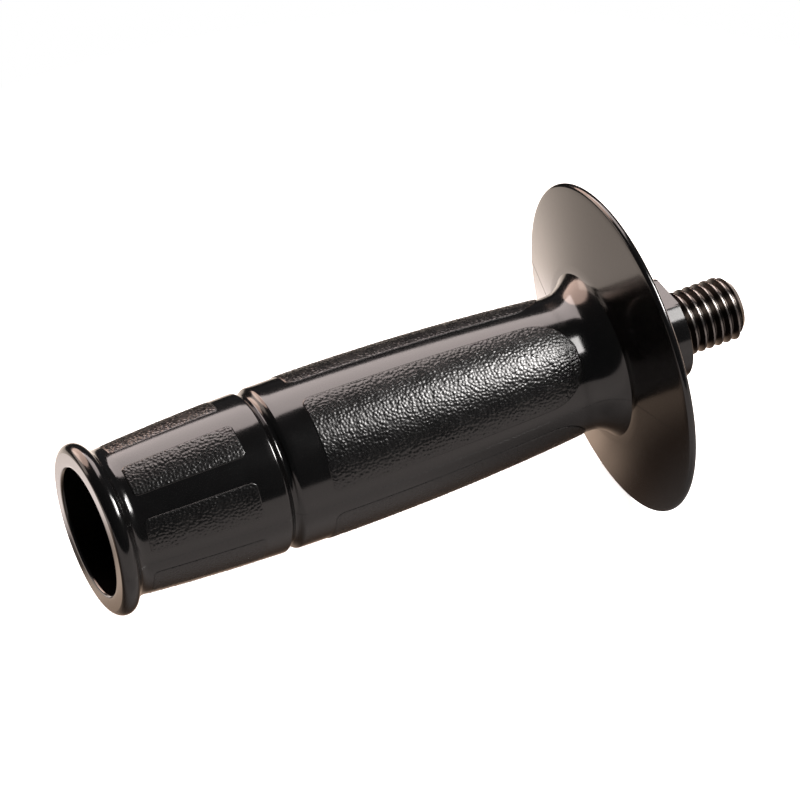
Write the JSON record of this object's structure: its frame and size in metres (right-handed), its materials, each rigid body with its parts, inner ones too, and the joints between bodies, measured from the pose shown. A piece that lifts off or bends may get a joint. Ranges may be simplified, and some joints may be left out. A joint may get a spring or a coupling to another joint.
{
  "type": "power tool side handle",
  "caption": "Side handle for a hand-held power tool: hollow ribless grip with raised grained pads, a lipped mouth, a dished guard and a threaded steel stud.",
  "frame": {"origin": "centre of the shoulder, the flat end of the boss that seats against the tool, on the stud's axis", "axes": "+X along the handle's axis out of the stud's end; +Z square to the boss's spanner flats; the mould's parting plane is XY"},
  "size_m": [0.1489, 0.0724, 0.0724],
  "materials": {
    "black_moulding": "glossy black moulding with grained pads",
    "black_steel": "oiled black oxide"
  },
  "bodies": {
    "root": {"handle_body": "black_moulding", "threaded_stud": "black_steel"}
  },
  "joints": []
}
